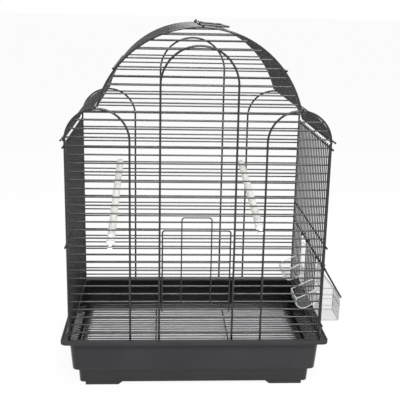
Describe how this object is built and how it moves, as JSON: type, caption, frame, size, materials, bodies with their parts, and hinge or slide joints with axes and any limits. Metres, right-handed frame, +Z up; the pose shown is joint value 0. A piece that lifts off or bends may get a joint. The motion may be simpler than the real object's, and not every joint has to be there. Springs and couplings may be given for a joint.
{
  "type": "bird cage",
  "caption": "Arched wire bird cage with a domed roof, a drop-down front door, side feeders under flaps, perches, a folding handle and a deep plastic base.",
  "frame": {"origin": "on the ground, at the middle of the whole outline with the feeders", "axes": "+Z up, -Y towards the front door, +X towards the side with the feeders"},
  "size_m": [0.449, 0.296, 0.5761],
  "materials": {
    "black_wire": "glossy black coated steel wire",
    "tray_plastic": "smooth charcoal moulded plastic",
    "liner": "plain white sheet",
    "perch_plastic": "off-white moulded plastic",
    "clear_plastic": "clear moulded plastic"
  },
  "bodies": {
    "base": {"tray": "tray_plastic", "tray_liner": "liner"},
    "floor_grille": {"grille_bars": "black_wire", "grille_rails": "black_wire"},
    "front_door": {"door_frame": "black_wire", "door_bars": "black_wire", "door_catch": "black_wire"},
    "feeder_flap_front": {"flap_bars_front": "black_wire", "flap_frame_front": "black_wire"},
    "feeder_flap_back": {"flap_bars_back": "black_wire", "flap_frame_back": "black_wire"},
    "carry_handle": {"handle_bail": "black_wire"},
    "cage": {"back_arch_wires": "black_wire", "back_bars": "black_wire", "back_dome_wire": "black_wire", "feeder_cup_back": "clear_plastic", "feeder_cup_front": "clear_plastic", "feeder_sill_wire": "black_wire", "flap_hinge_wire": "black_wire", "front_arch_wires": "black_wire", "front_bars": "black_wire", "front_dome_wire": "black_wire", "handle_pin_wire": "black_wire", "left_bars": "black_wire", "left_cross_wires": "black_wire", "perch_cap_left": "perch_plastic", "perch_cap_right": "perch_plastic", "perch_left": "perch_plastic", "perch_right": "perch_plastic", "right_bars": "black_wire", "right_cross_wires": "black_wire", "roof_cross_wires": "black_wire", "roof_dome_bars": "black_wire", "roof_left_bars": "black_wire", "roof_right_bars": "black_wire"}
  },
  "joints": [
    {"name": "cage_lift", "type": "slide", "parent": "base", "child": "cage", "axis": [0, 0, 1], "range_m": [0, 0.12]},
    {"name": "floor_grille_lift", "type": "slide", "parent": "base", "child": "floor_grille", "axis": [0, 0, 1], "range_m": [0, 0.045]},
    {"name": "front_door_hinge", "type": "hinge", "parent": "cage", "child": "front_door", "pos_m": [-0.01199, -0.1336, 0.134], "axis": [1, 0, 0], "range_deg": [0, 148]},
    {"name": "feeder_flap_front_hinge", "type": "hinge", "parent": "cage", "child": "feeder_flap_front", "pos_m": [0.18971, -0.09714, 0.2022], "axis": [0, -1, 0], "range_deg": [0, 140]},
    {"name": "feeder_flap_back_hinge", "type": "hinge", "parent": "cage", "child": "feeder_flap_back", "pos_m": [0.18971, 0.03238, 0.2022], "axis": [0, -1, 0], "range_deg": [0, 140]},
    {"name": "carry_handle_hinge", "type": "hinge", "parent": "cage", "child": "carry_handle", "pos_m": [-0.00899, 0, 0.57147], "axis": [0, -1, 0], "range_deg": [0, 188]}
  ]
}
